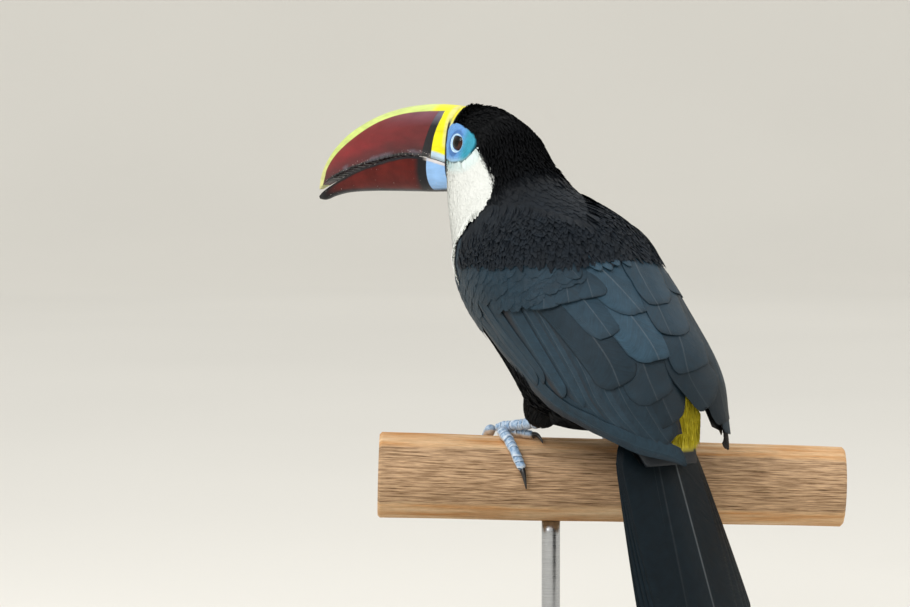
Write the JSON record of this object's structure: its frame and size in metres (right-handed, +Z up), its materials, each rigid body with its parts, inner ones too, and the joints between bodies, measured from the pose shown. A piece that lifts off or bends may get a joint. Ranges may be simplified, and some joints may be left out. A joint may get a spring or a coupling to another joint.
{
  "type": "toucan on a perch",
  "caption": "Life-size still model of a white-throated toucan gripping a cut branch, carried by a plain rod and round base.",
  "frame": {"origin": "centre of the base's underside, on the floor below the middle of the perch", "axes": "+X to the bird's left, -Y the way the bird faces, +Z up"},
  "size_m": [0.2763, 0.3938, 0.3962],
  "materials": {
    "black_feather": "soft matt black plumage of the crown, neck, back and belly",
    "white_feather": "soft white plumage of the throat and breast",
    "rump_feather": "soft yellow plumage of the upper tail coverts",
    "vent_feather": "soft red plumage of the breast band and under tail coverts",
    "wing_feather": "smooth blue-black vanes with a dull sheen",
    "tail_feather": "smooth blue-black vanes with a dull sheen",
    "red_horn": "semi-gloss horn, red with a yellow ridge and base",
    "dark_red_horn": "semi-gloss horn, dark red with a pale blue base",
    "bare_skin": "matt bare skin round the eye",
    "scute": "matt scaly skin of the feet",
    "claw": "semi-gloss horn",
    "eye": "wet gloss",
    "bark": "weathered bare branch",
    "steel": "brushed",
    "wood_base": "dark stained and waxed"
  },
  "bodies": {
    "root": {"head": "black_feather", "neck": "black_feather", "trunk": "black_feather", "thigh_left": "black_feather", "thigh_right": "black_feather", "rump": "rump_feather", "tail": "tail_feather", "wing_left": "wing_feather", "eye_left": "eye", "tarsus_left": "scute", "toe_left_1": "scute", "claw_left_1": "claw", "toe_left_2": "scute", "claw_left_2": "claw", "toe_left_3": "scute", "claw_left_3": "claw", "toe_left_4": "scute", "claw_left_4": "claw", "wing_right": "wing_feather", "eye_right": "eye", "tarsus_right": "scute", "toe_right_1": "scute", "claw_right_1": "claw", "toe_right_2": "scute", "claw_right_2": "claw", "toe_right_3": "scute", "claw_right_3": "claw", "toe_right_4": "scute", "claw_right_4": "claw", "bill_upper": "red_horn", "bill_lower": "dark_red_horn", "perch": "bark", "stand_rod": "steel", "stand_base": "wood_base"}
  },
  "joints": []
}
